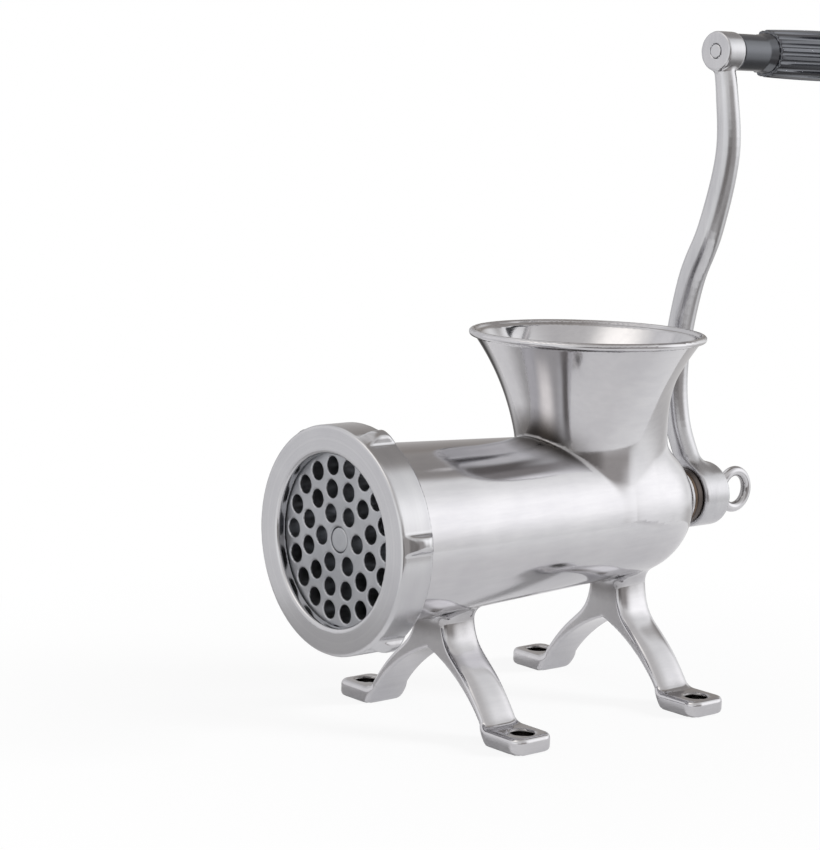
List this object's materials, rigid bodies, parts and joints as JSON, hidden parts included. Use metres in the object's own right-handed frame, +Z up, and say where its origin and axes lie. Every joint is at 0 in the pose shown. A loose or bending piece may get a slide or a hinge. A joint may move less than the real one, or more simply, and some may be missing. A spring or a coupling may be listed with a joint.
{
  "type": "manual meat grinder",
  "caption": "Hand cranked meat grinder with a flared hopper on a tapered barrel, a screw-on outlet ring, a swept crank and splayed bolt-down legs.",
  "frame": {"origin": "on the bench, midway between the four bolt holes of the feet", "axes": "+Y along the barrel from the outlet to the crank, +Z up, +X across the feet"},
  "size_m": [0.128, 0.3553, 0.3197],
  "materials": {
    "polished_steel": "hand-polished stainless steel",
    "satin_steel": "satin machined stainless steel",
    "tool_steel": "ground tool steel",
    "bronze": "turned bearing bronze",
    "fibre": "pressed fibre washer",
    "black_plastic": "satin black moulded plastic"
  },
  "bodies": {
    "housing": {"barrel": "polished_steel", "hopper": "polished_steel", "front_legs": "polished_steel", "rear_legs": "polished_steel", "plate_key": "tool_steel", "rear_bush": "bronze", "thrust_washer": "fibre", "shaft_washer": "satin_steel"},
    "drive": {"feed_screw": "satin_steel", "knife_stud": "tool_steel", "cutter_knife": "tool_steel", "crank_arm": "satin_steel", "grip_spindle": "satin_steel", "end_washer": "satin_steel"},
    "grip": {"grip_core": "black_plastic", "fluted_sleeve": "black_plastic"},
    "plate": {"hole_plate": "tool_steel"},
    "ring": {"ring_nut": "satin_steel"},
    "washer": {"crank_washer": "satin_steel"},
    "eye": {"eye_screw": "polished_steel"}
  },
  "joints": [
    {"name": "crank_turn", "type": "hinge", "parent": "housing", "child": "drive", "pos_m": [0, 0, 0.0908], "axis": [0, 1, 0], "continuous": true},
    {"name": "grip_spin", "type": "hinge", "parent": "drive", "child": "grip", "pos_m": [0.00718, 0.104, 0.30728], "axis": [0, 1, 0], "continuous": true},
    {"name": "plate_slide", "type": "slide", "parent": "housing", "child": "plate", "axis": [0, -1, 0], "range_m": [0, 0.0101]},
    {"name": "ring_turn", "type": "hinge", "parent": "plate", "child": "ring", "pos_m": [0, -0.1141, 0.0908], "axis": [0, -1, 0], "range_deg": [0, 1440]},
    {"name": "washer_slide", "type": "slide", "parent": "drive", "child": "washer", "axis": [0, 1, 0], "range_m": [0, 0.012]},
    {"name": "eye_turn", "type": "hinge", "parent": "washer", "child": "eye", "pos_m": [0, 0.1344, 0.0908], "axis": [0, 1, 0], "range_deg": [0, 2890]}
  ],
  "couplings": [
    {"joint": "plate_slide", "follows": "ring_turn", "m_per_rad": 0.00039789},
    {"joint": "eye_turn", "follows": "washer_slide", "rad_per_m": 4188.8}
  ]
}
